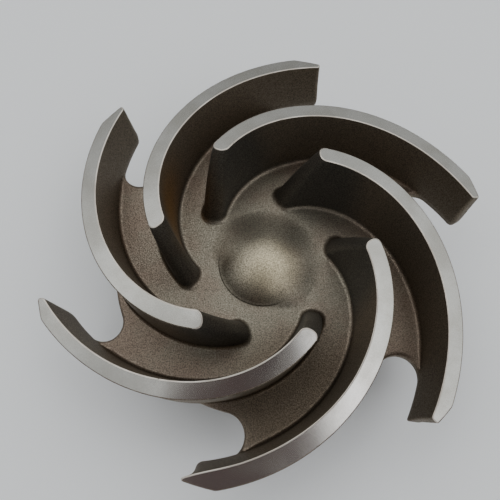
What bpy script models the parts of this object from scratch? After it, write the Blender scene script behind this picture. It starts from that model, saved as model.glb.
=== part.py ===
"""Semi-open centrifugal pump impeller: one casting with six backward-curved vanes.

Metres, with +Z up along the shaft axis towards the suction side.  The origin is on the axis, in
the plane of the hub's end face, on which the impeller rests when it is laid down.
"""

import math

import bmesh
import bpy
from mathutils import Vector

MM = 0.001

# Impeller as a whole
OUTER_RADIUS = 101.6 * MM
VANE_COUNT = 6
# The outside diameter as turned, a little off the centre of the vanes
RIM_RADIUS = 102.4 * MM
RIM_CENTRE = (0.3 * MM, -1.0 * MM)

# Heights above the hub's end face
HUB_LENGTH = 30.0 * MM
SHROUD_THICKNESS = 5.5 * MM
OUTLET_DEPTH = 24.7 * MM
SHROUD_BACK = HUB_LENGTH
FLOOR = SHROUD_BACK + SHROUD_THICKNESS
TIP_TOP = FLOOR + OUTLET_DEPTH

# Turned front face, a cone that rises from the vane tips towards the eye
FACE_SLOPE = math.radians(17.5)
FACE_ALLOWANCE = 1.5 * MM

# Vane mean line: the blade angle, from the tangent, at three radii
INLET_RADIUS = 0.40 * OUTER_RADIUS
BLADE_ANGLE_INLET = math.radians(30.8)
BLADE_ANGLE_MIDDLE = math.radians(24.6)
BLADE_ANGLE_OUTLET = math.radians(21.2)
MEAN_LINE_TIP_ANGLE = math.radians(12.6)
MEAN_LINE_STEPS = 160

# Vane section
VANE_THICKNESS_INLET = 7.7 * MM
VANE_THICKNESS_OUTLET = 7.0 * MM
CONCAVE_DRAFT = 3.0 * MM
ROOT_FILLET = 2.4 * MM
NOSE_RADIUS_ROOT = 0.375 * OUTER_RADIUS
NOSE_RADIUS_TOP = 0.459 * OUTER_RADIUS
# How far each side lies further out near the tip, counter-clockwise from the vane at +X
TIP_GROWTH = (0.0, 0.0, 0.0, -0.4 * MM, 0.6 * MM, -0.2 * MM)
GROWTH_START = 0.70 * OUTER_RADIUS
GROWTH_REACH = 0.20 * OUTER_RADIUS
VANE_STATIONS = 20
NOSE_POINTS = 6
OVERSIZE = 4.0 * MM

# Root fillets end where the shroud does, sooner on the convex side
CONVEX_ROOT_END = 0.72 * OUTER_RADIUS
CONCAVE_ROOT_END = 0.86 * OUTER_RADIUS
ROOT_FADE = 0.06 * OUTER_RADIUS

# Blunted trailing edge, as dressed by hand: where each concave side turns out to the rim, as a
# share of the outer radius, and the tip's angle in degrees, counter-clockwise from the vane at +X
BLUNT_SHARES_TOP = (0.975, 0.977, 0.975, 0.972, 0.972, 0.982)
BLUNT_SHARES_BOTTOM = (0.954, 0.954, 0.954, 0.941, 0.954, 0.954)
TIP_ANGLES_TOP = (10.8, 10.6, 10.8, 10.8, 8.6, 9.9)
TIP_ANGLE_BOTTOM = 10.2

# Scallops cut in the shroud between the vanes
SCALLOP_RADIUS = 72.7 * MM
SHROUD_RIM = 0.93 * OUTER_RADIUS
SCALLOP_CLEARANCE = 2.3 * MM
# Corner radius of each scallop, counter-clockwise from the passage at +X, as dressed by hand
SCALLOP_CORNERS = (9.4 * MM, 9.4 * MM, 8.8 * MM, 8.8 * MM, 10.3 * MM, 9.8 * MM)
SCALLOP_POINTS = 10
TIP_CORNER = 5.0 * MM
CORNER_DROP = 0.05 * MM

# Closed nose of the hub, a low dome in the eye
DOME_RADIUS = 21.3 * MM
DOME_HEIGHT = 6.5 * MM

# Hub on the back of the shroud, with a blind screwed bore
HUB_RADIUS = 28.5 * MM
HUB_FILLET = 6.0 * MM
HUB_CHAMFER = 1.2 * MM
RECESS_RADIUS = 18.0 * MM
RECESS_DEPTH = 5.0 * MM
THREAD_RADIUS = 15.0 * MM
THREAD_PITCH = 3.5 * MM
THREAD_DEPTH = 1.9 * MM
THREAD_START = 1.0 * MM
THREAD_TURNS = 7.5
THREAD_SEGMENTS = 28
RELIEF_RADIUS = 15.5 * MM
RELIEF_START = 27.0 * MM
RELIEF_END = 31.0 * MM
BORE_END = 36.0 * MM

ROUND_SEGMENTS = 60
FACE_SEGMENTS = 144
FILLET_POINTS = 4
MARGIN = 1.0 * MM

METAL_COLOUR = (0.30, 0.28, 0.24, 1.0)
METAL_ROUGHNESS = 0.45


def clear_scene():
    """Remove every object, so that the model starts from nothing."""
    for existing in list(bpy.data.objects):
        bpy.data.objects.remove(existing, do_unlink=True)


def polar(radius, angle):
    """The point of the plan at a radius and an angle from +X."""
    return Vector((radius * math.cos(angle), radius * math.sin(angle)))


def arc(centre, radius, start, end, count):
    """Points of a circular arc, from one angle to another, ends included."""
    step = (end - start) / (count - 1)
    return [centre + polar(radius, start + step * i) for i in range(count)]


def smooth_step(value):
    """Ease from 0 to 1 with level ends."""
    value = min(max(value, 0.0), 1.0)
    return value * value * (3.0 - 2.0 * value)


def blade_angle(radius):
    """The angle between the vane's mean line and the tangent, a parabola through three radii."""
    u = (radius - INLET_RADIUS) / (OUTER_RADIUS - INLET_RADIUS)
    inlet = BLADE_ANGLE_INLET * (1.0 - u) * (1.0 - 2.0 * u)
    middle = BLADE_ANGLE_MIDDLE * 4.0 * u * (1.0 - u)
    outlet = BLADE_ANGLE_OUTLET * u * (2.0 * u - 1.0)
    return inlet + middle + outlet


def mean_angle(radius):
    """The polar angle of the mean line, summed inwards from the tip along the blade angle."""
    step = (OUTER_RADIUS - radius) / MEAN_LINE_STEPS
    angle = MEAN_LINE_TIP_ANGLE
    for i in range(MEAN_LINE_STEPS):
        r = OUTER_RADIUS - step * (i + 0.5)
        angle += step / (r * math.tan(blade_angle(r)))
    return angle


def mean_frame(radius):
    """A mean line point, the direction inwards along it, and the normal to its convex side."""
    point_angle = mean_angle(radius)
    outward = polar(1.0, point_angle)
    around = Vector((-outward.y, outward.x))
    beta = blade_angle(radius)
    inward = around * math.cos(beta) - outward * math.sin(beta)
    convex = around * math.sin(beta) + outward * math.cos(beta)
    return polar(radius, point_angle), inward, convex


def vane_thickness(radius):
    """The vane's thickness at its top, tapering from inlet to outlet."""
    u = (radius - INLET_RADIUS) / (OUTER_RADIUS - INLET_RADIUS)
    return VANE_THICKNESS_INLET + (VANE_THICKNESS_OUTLET - VANE_THICKNESS_INLET) * u


def concave_point(radius, clearance):
    """A point off the vane's concave side at a clearance from its top edge."""
    point, _, convex = mean_frame(radius)
    return point - convex * (vane_thickness(radius) / 2.0 + clearance)


def face_height(radius):
    """The height of the turned front face."""
    return TIP_TOP + (OUTER_RADIUS - radius) * math.tan(FACE_SLOPE)


def root_flare(radius, root_end):
    """The root fillet's reach, which fades out where the shroud ends."""
    return ROOT_FILLET * smooth_step((root_end - radius) / ROOT_FADE)


def tip_growth(number, radius):
    """How much further out than usual each side of a vane lies at a radius."""
    return TIP_GROWTH[number] * smooth_step((radius - GROWTH_START) / GROWTH_REACH)


def concave_station(length, clearance):
    """The mean line radius whose point off the concave side lies at a distance from the axis."""
    low, high = 0.6 * OUTER_RADIUS, 1.2 * OUTER_RADIUS
    for _ in range(40):
        station = (low + high) / 2.0
        if concave_point(station, clearance).length < length:
            low = station
        else:
            high = station
    return station


def blunt_tail(start, tip_angle):
    """The trailing edge's end, past the rim on the line from the concave side to the tip."""
    reach = polar(OUTER_RADIUS, math.radians(tip_angle)) - start
    return start + reach * (1.0 + OVERSIZE / reach.length)


def vane_levels():
    """Height rule, share of draft and share of root fillet at each level of a vane."""
    return [
        (lambda radius: SHROUD_BACK - MARGIN, 0.8, 0.0),
        (lambda radius: SHROUD_BACK + MARGIN, 0.8, 0.0),
        (lambda radius: FLOOR - 0.3 * MM, 1.0, 1.0),
        (lambda radius: FLOOR + 0.4 * ROOT_FILLET, 0.97, 0.35),
        (lambda radius: FLOOR + 1.2 * ROOT_FILLET, 0.9, 0.0),
        (lambda radius: face_height(radius) + FACE_ALLOWANCE, 0.0, 0.0),
    ]


def vane_ring(number, height, draft_share, fillet_share):
    """One closed ring of a vane: convex side, round nose, concave side and dressed tip."""
    rise = (height(NOSE_RADIUS_TOP) - FLOOR) / (face_height(NOSE_RADIUS_TOP) - FLOOR)
    nose = NOSE_RADIUS_ROOT + (NOSE_RADIUS_TOP - NOSE_RADIUS_ROOT) * max(rise, 0.0)
    tip = OUTER_RADIUS + OVERSIZE
    blunt_share = BLUNT_SHARES_TOP[number]
    blunt_share += (BLUNT_SHARES_BOTTOM[number] - blunt_share) * draft_share
    tip_angle = TIP_ANGLES_TOP[number] * (1.0 - draft_share) + TIP_ANGLE_BOTTOM * draft_share
    blunt = concave_station(blunt_share * OUTER_RADIUS, CONCAVE_DRAFT * draft_share)
    convex_side, concave_side = [], []
    for i in range(VANE_STATIONS):
        share = i / (VANE_STATIONS - 1)
        convex_radius = tip + (nose - tip) * share
        point, inward, convex = mean_frame(convex_radius)
        flare = root_flare(convex_radius, CONVEX_ROOT_END) * fillet_share
        out_convex = vane_thickness(convex_radius) / 2.0 + flare + tip_growth(number, convex_radius)
        convex_side.append(point + convex * out_convex)
        concave_radius = blunt + (nose - blunt) * share
        flare = root_flare(concave_radius, CONCAVE_ROOT_END) * fillet_share
        draft = CONCAVE_DRAFT * draft_share + flare + tip_growth(number, concave_radius)
        concave_side.append(concave_point(concave_radius, draft))
    concave_side[0:0] = [blunt_tail(concave_side[0], tip_angle)]
    out_concave = vane_thickness(nose) / 2.0 + draft
    middle = (out_convex - out_concave) / 2.0
    half_width = (out_convex + out_concave) / 2.0
    round_nose = []
    for i in range(1, NOSE_POINTS):
        turn = math.pi * i / NOSE_POINTS
        across = middle + half_width * math.cos(turn)
        ahead = half_width * math.sin(turn)
        round_nose.append(point + convex * across + inward * ahead)
    outline = convex_side + round_nose + concave_side[::-1]
    return [Vector((p.x, p.y, height(p.length))) for p in outline]


def add_walls(bm, rings):
    """Join closed rings, lowest first, and return the lowest and highest loop of vertices."""
    loops = [[bm.verts.new(p) for p in ring] for ring in rings]
    count = len(loops[0])
    for lower, upper in zip(loops, loops[1:]):
        for i in range(count):
            j = (i + 1) % count
            bm.faces.new((lower[i], lower[j], upper[j], upper[i]))
    return loops[0], loops[-1]


def add_flat_ends(bm, loops):
    """Close a body whose end loops are flat."""
    for loop in loops:
        bm.faces.new(loop)


def add_ladder_ends(bm, loops):
    """Close a long curved body whose end loops need not be flat, with rungs from side to side."""
    for loop in loops:
        count = len(loop)
        for i in range(count // 2 - 1):
            bm.faces.new((loop[i], loop[i + 1], loop[count - 2 - i], loop[count - 1 - i]))


def make_object(name, bm):
    """Turn a bmesh into an object with outward faces, cut into triangles for the Booleans."""
    bmesh.ops.triangulate(bm, faces=bm.faces)
    bmesh.ops.recalc_face_normals(bm, faces=bm.faces)
    if bm.calc_volume(signed=True) < 0.0:
        bmesh.ops.reverse_faces(bm, faces=bm.faces)
    mesh = bpy.data.meshes.new(name)
    bm.to_mesh(mesh)
    bm.free()
    made = bpy.data.objects.new(name, mesh)
    bpy.context.scene.collection.objects.link(made)
    return made


def turned(name, profile, segments):
    """A solid of revolution about Z; the profile runs from the axis back to the axis."""
    bm = bmesh.new()
    rings = []
    for radius, height in profile:
        if radius == 0.0:
            rings.append([bm.verts.new((0.0, 0.0, height))])
            continue
        ring = []
        for i in range(segments):
            p = polar(radius, math.tau * i / segments)
            ring.append(bm.verts.new((p.x, p.y, height)))
        rings.append(ring)
    for first, second in zip(rings, rings[1:]):
        for i in range(segments):
            j = (i + 1) % segments
            corners = [first[i % len(first)], first[j % len(first)]]
            corners += [second[j % len(second)], second[i % len(second)]]
            bm.faces.new(list(dict.fromkeys(corners)))
    return make_object(name, bm)


def dome_profile():
    """The dome from its foot on the floor to its crown, as a circular arc."""
    sphere = (DOME_RADIUS**2 + DOME_HEIGHT**2) / (2.0 * DOME_HEIGHT)
    centre = Vector((0.0, FLOOR + DOME_HEIGHT - sphere))
    foot = math.acos(DOME_RADIUS / sphere)
    points = arc(centre, sphere, foot, math.pi / 2.0, 7)
    return [(p.x, p.y) for p in points[:-1]] + [(0.0, FLOOR + DOME_HEIGHT)]


def blank():
    """The disc before it is turned, ending inside the vanes' feet, with the dome in front."""
    rim = SHROUD_RIM - MARGIN
    profile = [(0.0, -MARGIN), (rim, -MARGIN), (rim, FLOOR)]
    return turned("impeller_casting", profile + dome_profile(), ROUND_SEGMENTS)


def vanes():
    """The six vanes, each a loft from below the shroud's back to above the turned face."""
    bm = bmesh.new()
    for k in range(VANE_COUNT):
        rings = [vane_ring(k, *level) for level in vane_levels()]
        turn = math.tau * k / VANE_COUNT
        spun = []
        for ring in rings:
            plan = [(polar(p.xy.length, math.atan2(p.y, p.x) + turn), p.z) for p in ring]
            spun.append([Vector((q.x, q.y, z)) for q, z in plan])
        add_ladder_ends(bm, add_walls(bm, spun))
    return make_object("vane_bodies", bm)


def scallop_outline(corner_radius):
    """One scallop in plan: along a vane's concave side, round a corner and along the circle."""
    beyond = OUTER_RADIUS + 2.0 * OVERSIZE
    to_centre = SCALLOP_CLEARANCE + corner_radius
    station = concave_station(SCALLOP_RADIUS + corner_radius, to_centre)
    centre = concave_point(station, to_centre)
    touch = concave_point(station, SCALLOP_CLEARANCE) - centre
    corner_start = math.atan2(touch.y, touch.x)
    corner_end = math.atan2(-centre.y, -centre.x)
    if corner_end < corner_start:
        corner_end += math.tau
    side = []
    for i in range(SCALLOP_POINTS):
        radius = beyond + (station - beyond) * i / SCALLOP_POINTS
        side.append(concave_point(radius, SCALLOP_CLEARANCE))
    corner = arc(centre, corner_radius, corner_start, corner_end, SCALLOP_POINTS)
    next_vane = math.tau / VANE_COUNT
    circle_start = math.atan2(centre.y, centre.x)
    circle_end = mean_angle(SCALLOP_RADIUS) - next_vane
    circle = arc(Vector((0.0, 0.0)), SCALLOP_RADIUS, circle_start, circle_end, SCALLOP_POINTS)
    under_vane = []
    for i in range(1, SCALLOP_POINTS + 1):
        radius = SCALLOP_RADIUS + (beyond - SCALLOP_RADIUS) * i / SCALLOP_POINTS
        under_vane.append(polar(radius, mean_angle(radius) - next_vane))
    rim_start = math.atan2(under_vane[-1].y, under_vane[-1].x)
    rim_end = math.atan2(side[0].y, side[0].x)
    rim = arc(Vector((0.0, 0.0)), beyond, rim_start, rim_end, SCALLOP_POINTS)
    return side + corner + circle[1:] + under_vane + rim[1:-1]


def scallop_cutter():
    """Six upright prisms, one for each passage."""
    bm = bmesh.new()
    heights = (-2.0 * MARGIN, FLOOR + 2.0 * MARGIN)
    for k, corner_radius in enumerate(SCALLOP_CORNERS):
        turn = math.tau * k / VANE_COUNT
        outline = scallop_outline(corner_radius)
        spun = [polar(p.length, math.atan2(p.y, p.x) + turn) for p in outline]
        rings = [[Vector((p.x, p.y, z)) for p in spun] for z in heights]
        add_flat_ends(bm, add_walls(bm, rings))
    return make_object("scallop_cutter", bm)


def turned_faces():
    """What the lathe leaves of the hub, the shroud's back and the conical front face."""
    fillet_centre = Vector((HUB_RADIUS + HUB_FILLET, SHROUD_BACK - HUB_FILLET))
    fillet = arc(fillet_centre, HUB_FILLET, math.pi, math.pi / 2.0, FILLET_POINTS)
    beyond = OUTER_RADIUS + OVERSIZE
    profile = [(0.0, 0.0), (HUB_RADIUS - HUB_CHAMFER, 0.0), (HUB_RADIUS, HUB_CHAMFER)]
    profile += [(p.x, p.y) for p in fillet] + [(beyond, SHROUD_BACK)]
    profile += [(beyond, face_height(beyond)), (0.0, face_height(0.0))]
    return turned("turned_faces", profile, FACE_SEGMENTS)


def turned_rim():
    """The outside diameter with its rounded lower corner, which begins just below the back."""
    corner_centre = Vector((RIM_RADIUS - TIP_CORNER, SHROUD_BACK + TIP_CORNER - CORNER_DROP))
    corner = arc(corner_centre, TIP_CORNER, -math.pi / 2.0, 0.0, FILLET_POINTS)
    top = face_height(0.0) + MARGIN
    profile = [(0.0, -MARGIN), (corner[0].x, -MARGIN)] + [(p.x, p.y) for p in corner]
    rim = turned("turned_rim", profile + [(RIM_RADIUS, top), (0.0, top)], FACE_SEGMENTS)
    rim.location.xy = RIM_CENTRE
    return rim


def bore_cutter():
    """The recess, core, relief and drill point of the blind bore."""
    core = THREAD_RADIUS - THREAD_DEPTH - 0.2 * MM
    profile = [(0.0, -MARGIN), (RECESS_RADIUS, -MARGIN), (RECESS_RADIUS, RECESS_DEPTH)]
    profile += [(core, RECESS_DEPTH), (core, RELIEF_START), (RELIEF_RADIUS, RELIEF_START)]
    profile += [(RELIEF_RADIUS, RELIEF_END), (0.0, BORE_END)]
    return turned("bore_cutter", profile, ROUND_SEGMENTS)


def thread_cutter():
    """The screw thread as one body, its rows of points running along the helix."""
    minor = THREAD_RADIUS - THREAD_DEPTH
    teeth = [(0.0, minor), (0.3125, THREAD_RADIUS), (0.4375, THREAD_RADIUS), (0.75, minor)]
    per_turn = len(teeth)
    rows = int(THREAD_TURNS * per_turn) + 1
    bm = bmesh.new()
    grid = []
    for row in range(rows + per_turn):
        share, radius = teeth[row % per_turn]
        base = THREAD_START + THREAD_PITCH * (row // per_turn + share)
        last = 1 if row >= rows else THREAD_SEGMENTS
        points = []
        for i in range(last):
            p = polar(radius, math.tau * i / THREAD_SEGMENTS)
            points.append(bm.verts.new((p.x, p.y, base + THREAD_PITCH * i / THREAD_SEGMENTS)))
        grid.append(points)
    for row in range(rows - 1):
        for i in range(THREAD_SEGMENTS - 1):
            bm.faces.new((grid[row][i], grid[row][i + 1], grid[row + 1][i + 1], grid[row + 1][i]))
        seam = (grid[row][-1], grid[row + per_turn][0], grid[row + per_turn + 1][0])
        bm.faces.new(seam + (grid[row + 1][-1],))
    start_edge = grid[0] + [grid[row][0] for row in range(per_turn, 0, -1)]
    end_edge = grid[rows - 1] + [grid[row][0] for row in range(rows - 1 + per_turn, rows - 1, -1)]
    for edge in (start_edge, end_edge):
        height = sum(v.co.z for v in edge) / len(edge)
        hub = bm.verts.new((0.0, 0.0, height))
        for a, b in zip(edge, edge[1:] + edge[:1]):
            bm.faces.new((a, b, hub))
    return make_object("thread_cutter", bm)


def add_boolean(target, tool, operation):
    """Shape the target with a tool that stays in the scene as a hidden guide."""
    tool.hide_render = True
    tool.display_type = "WIRE"
    step = target.modifiers.new(tool.name, "BOOLEAN")
    step.operation = operation
    step.solver = "EXACT"
    step.object = tool


def cast_metal():
    """Cast stainless steel, as its surface looks on the whole."""
    material = bpy.data.materials.new("cast_stainless")
    material.use_nodes = True
    shader = material.node_tree.nodes["Principled BSDF"]
    shader.inputs["Base Color"].default_value = METAL_COLOUR
    shader.inputs["Metallic"].default_value = 1.0
    shader.inputs["Roughness"].default_value = METAL_ROUGHNESS
    return material


def main():
    """Make the casting: blank, scallops, vanes, turned faces, bore and thread."""
    clear_scene()
    casting = blank()
    casting.data.materials.append(cast_metal())
    add_boolean(casting, scallop_cutter(), "DIFFERENCE")
    add_boolean(casting, vanes(), "UNION")
    add_boolean(casting, turned_faces(), "INTERSECT")
    add_boolean(casting, turned_rim(), "INTERSECT")
    add_boolean(casting, bore_cutter(), "DIFFERENCE")
    add_boolean(casting, thread_cutter(), "DIFFERENCE")


main()
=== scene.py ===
"""Looks of a semi-open centrifugal pump impeller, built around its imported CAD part.

The impeller is made the way the real one is.  A casting with rounded roots and rims comes first,
as a distance field that is turned into a mesh.  Then it is turned on a lathe: the conical front
face, the outside diameter, the hub and the screwed bore are cut with crisp tools, and each cut
keeps the finish of its tool.  Lengths are in metres, with +Z up along the shaft axis.
"""

import logging
import math
from collections.abc import Sequence
from dataclasses import dataclass, field
from enum import Enum

import bmesh
import bpy
import numpy as np
from mathutils import Matrix, Vector
from mathutils.geometry import delaunay_2d_cdt

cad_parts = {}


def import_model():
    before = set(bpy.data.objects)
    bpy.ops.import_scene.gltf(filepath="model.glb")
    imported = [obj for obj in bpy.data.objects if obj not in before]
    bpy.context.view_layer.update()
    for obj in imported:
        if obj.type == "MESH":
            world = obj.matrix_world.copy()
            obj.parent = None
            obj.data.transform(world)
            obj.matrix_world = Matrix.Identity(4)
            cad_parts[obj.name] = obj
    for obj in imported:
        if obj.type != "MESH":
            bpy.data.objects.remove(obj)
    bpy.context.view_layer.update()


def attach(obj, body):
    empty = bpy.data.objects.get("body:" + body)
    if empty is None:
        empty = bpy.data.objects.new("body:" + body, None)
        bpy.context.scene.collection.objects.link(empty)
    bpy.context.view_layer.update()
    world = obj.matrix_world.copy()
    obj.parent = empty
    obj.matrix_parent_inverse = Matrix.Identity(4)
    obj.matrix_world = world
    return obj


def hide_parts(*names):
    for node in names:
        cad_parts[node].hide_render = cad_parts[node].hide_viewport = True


log = logging.getLogger("impeller")

Array = np.ndarray
Pair, Triple, Floats = tuple[float, float], tuple[float, float, float], tuple[float, ...]
BMesh, BMVert = bmesh.types.BMesh, bmesh.types.BMVert
Material, Mesh, Object = bpy.types.Material, bpy.types.Mesh, bpy.types.Object
Node, Socket, Tree = bpy.types.Node, bpy.types.NodeSocket, bpy.types.NodeTree

MM = 0.001
CASTING_NODE = "impeller_casting"

# Settings and values that many nodes share.
SMOOTH = {"interpolation_type": "SMOOTHSTEP"}
BLEND = {"data_type": "RGBA"}
IN_PLAN = (1.0, 1.0, 0.0)


class Surface(Enum):
    """The finishes of the impeller, in the order of its material slots."""

    CAST = 0
    TURNED_FACE = 1
    BROKEN_EDGE = 2
    TURNED_RIM = 3
    TURNED_HUB = 4


def mm(*lengths: float) -> Floats:
    """Lengths that are given in millimetres."""
    return tuple(length * MM for length in lengths)


def smooth_step(value: Array) -> Array:
    """Ease from 0 to 1 with level ends, as the value goes from 0 to 1."""
    value = np.clip(value, 0.0, 1.0)
    return value * value * (3.0 - 2.0 * value)


def blend_union(a: Array, b: Array, radius: Array | float) -> Array:
    """Distance to two solids joined with a round fillet of a radius in the corner."""
    past_both = np.hypot(np.maximum(radius - a, 0.0), np.maximum(radius - b, 0.0))
    return np.maximum(radius, np.minimum(a, b)) - past_both


def blend_cut(a: Array, b: Array, radius: Array | float) -> Array:
    """Distance to what two solids share, with its edge rounded to a radius."""
    return -blend_union(-a, -b, radius)


def heading(angle: Array | float) -> Array:
    """Unit vector of the plan at an angle, with x and y in the last axis."""
    return np.stack([np.cos(angle), np.sin(angle)], axis=-1)


def quarter_turn(vectors: Array) -> Array:
    """Vectors of the plan turned a quarter counter-clockwise."""
    return np.stack([-vectors[..., 1], vectors[..., 0]], axis=-1)


def reach(points: Array) -> Array:
    """Distance of each point of the plan from the axis."""
    return np.hypot(points[..., 0], points[..., 1])


def angle_of(point: Array) -> float:
    """Direction of one point of the plan from the axis."""
    return math.atan2(point[1], point[0])


def arc(radius: float, start: float, end: float, count: int) -> Array:
    """Points of an arc about the axis, from one angle to another."""
    return radius * heading(np.linspace(start, end, count))


@dataclass(frozen=True)
class MainSizes:
    """Driving dimensions, the same as the CAD part's."""

    outer_radius: float = 101.6 * MM
    vane_count: int = 6
    hub_length: float = 30.0 * MM
    shroud_thickness: float = 5.5 * MM
    outlet_depth: float = 24.7 * MM
    face_slope: float = math.radians(17.5)
    machining_allowance: float = 1.5 * MM
    rim_radius: float = 102.4 * MM
    rim_centre: Pair = mm(0.3, -1.0)

    @property
    def shroud_back(self) -> float:
        """Height of the shroud's back."""
        return self.hub_length

    @property
    def shroud_middle(self) -> float:
        """Height of the shroud's middle."""
        return (self.shroud_back + self.floor) / 2.0

    @property
    def floor(self) -> float:
        """Height of the shroud's front, the floor of the passages."""
        return self.shroud_back + self.shroud_thickness

    def face_height(self, radius: Array | float) -> Array | float:
        """Height of the turned front face at a radius."""
        tip_top = self.floor + self.outlet_depth
        return tip_top + (self.outer_radius - radius) * math.tan(self.face_slope)

    def past_rim(self, points: Array) -> Array:
        """Distance beyond the turned outside diameter, which isn't quite centred on the vanes."""
        return reach(points - np.array(self.rim_centre)) - self.rim_radius


@dataclass(frozen=True)
class MeanLine:
    """The middle of a vane in plan: its blade angle, from the tangent, is set at three radii."""

    sizes: MainSizes
    inlet_angle: float = math.radians(30.8)
    middle_angle: float = math.radians(24.6)
    outlet_angle: float = math.radians(21.2)
    tip_angle: float = math.radians(12.6)
    inlet_share: float = 0.40
    inner_share: float = 0.20
    outer_share: float = 1.12
    steps: int = 1200
    foot_rounds: int = 6

    @property
    def radii(self) -> Array:
        """Radii at which the line is tabulated, from the inside out."""
        inner = self.inner_share * self.sizes.outer_radius
        return np.linspace(inner, self.outer_share * self.sizes.outer_radius, self.steps)

    def span_share(self, radius: Array) -> Array:
        """Position between the inlet radius, 0, and the rim, 1."""
        inlet = self.inlet_share * self.sizes.outer_radius
        return (radius - inlet) / (self.sizes.outer_radius - inlet)

    def blade_angle(self, radius: Array) -> Array:
        """Angle between the line and the tangent, a parabola through the three given ones.

        Args:
            radius: Radii on the line.

        Returns:
            The angle at each.
        """
        u = self.span_share(radius)
        inlet = self.inlet_angle * (1.0 - u) * (1.0 - 2.0 * u)
        middle = self.middle_angle * 4.0 * u * (1.0 - u)
        return inlet + middle + self.outlet_angle * u * (2.0 * u - 1.0)

    def tables(self) -> tuple[Array, Array, Array]:
        """Sum the line's angle and length along the radius.

        Returns:
            Radii, the polar angle at each, and the length inwards from the rim to each.
        """
        radii = self.radii
        beta = self.blade_angle(radii)
        step = radii[1] - radii[0]
        sums = []
        for rate in (1.0 / (radii * np.tan(beta)), 1.0 / np.sin(beta)):
            sums.append(np.concatenate([[0.0], np.cumsum((rate[1:] + rate[:-1]) * step / 2.0)]))
        rim_turn, rim_length = (np.interp(self.sizes.outer_radius, radii, s) for s in sums)
        return radii, self.tip_angle + rim_turn - sums[0], rim_length - sums[1]

    def place(self, radius: Array, turn: float = 0.0) -> tuple[Array, Array, Array]:
        """Points of the line with their directions.

        Args:
            radius: Radii of the points.
            turn: Angle by which the whole line is turned about the axis.

        Returns:
            Points, unit vectors inwards along the line, and unit normals to the convex side.
        """
        radii, angles, _ = self.tables()
        outward = heading(np.interp(radius, radii, angles) + turn)
        around = quarter_turn(outward)
        beta = self.blade_angle(radius)[..., None]
        inward = around * np.cos(beta) - outward * np.sin(beta)
        convex = around * np.sin(beta) + outward * np.cos(beta)
        return outward * np.asarray(radius)[..., None], inward, convex

    def foot(self, points: Array, turn: float) -> tuple[Array, Array]:
        """Drop each point on the line, by Newton's rule.

        Args:
            points: Points of the plan, in the last axis.
            turn: Angle by which the line is turned about the axis.

        Returns:
            The foot's radius, and the distance from the line, positive on the convex side.
        """
        ends = self.radii[[0, -1]]
        radius = np.clip(reach(points), *ends)
        for _ in range(self.foot_rounds):
            place, inward, _ = self.place(radius, turn)
            ahead = ((points - place) * inward).sum(axis=-1)
            radius = np.clip(radius - ahead * np.sin(self.blade_angle(radius)), *ends)
        place, _, convex = self.place(radius, turn)
        apart = points - place
        return radius, np.copysign(reach(apart), (apart * convex).sum(axis=-1))


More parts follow.
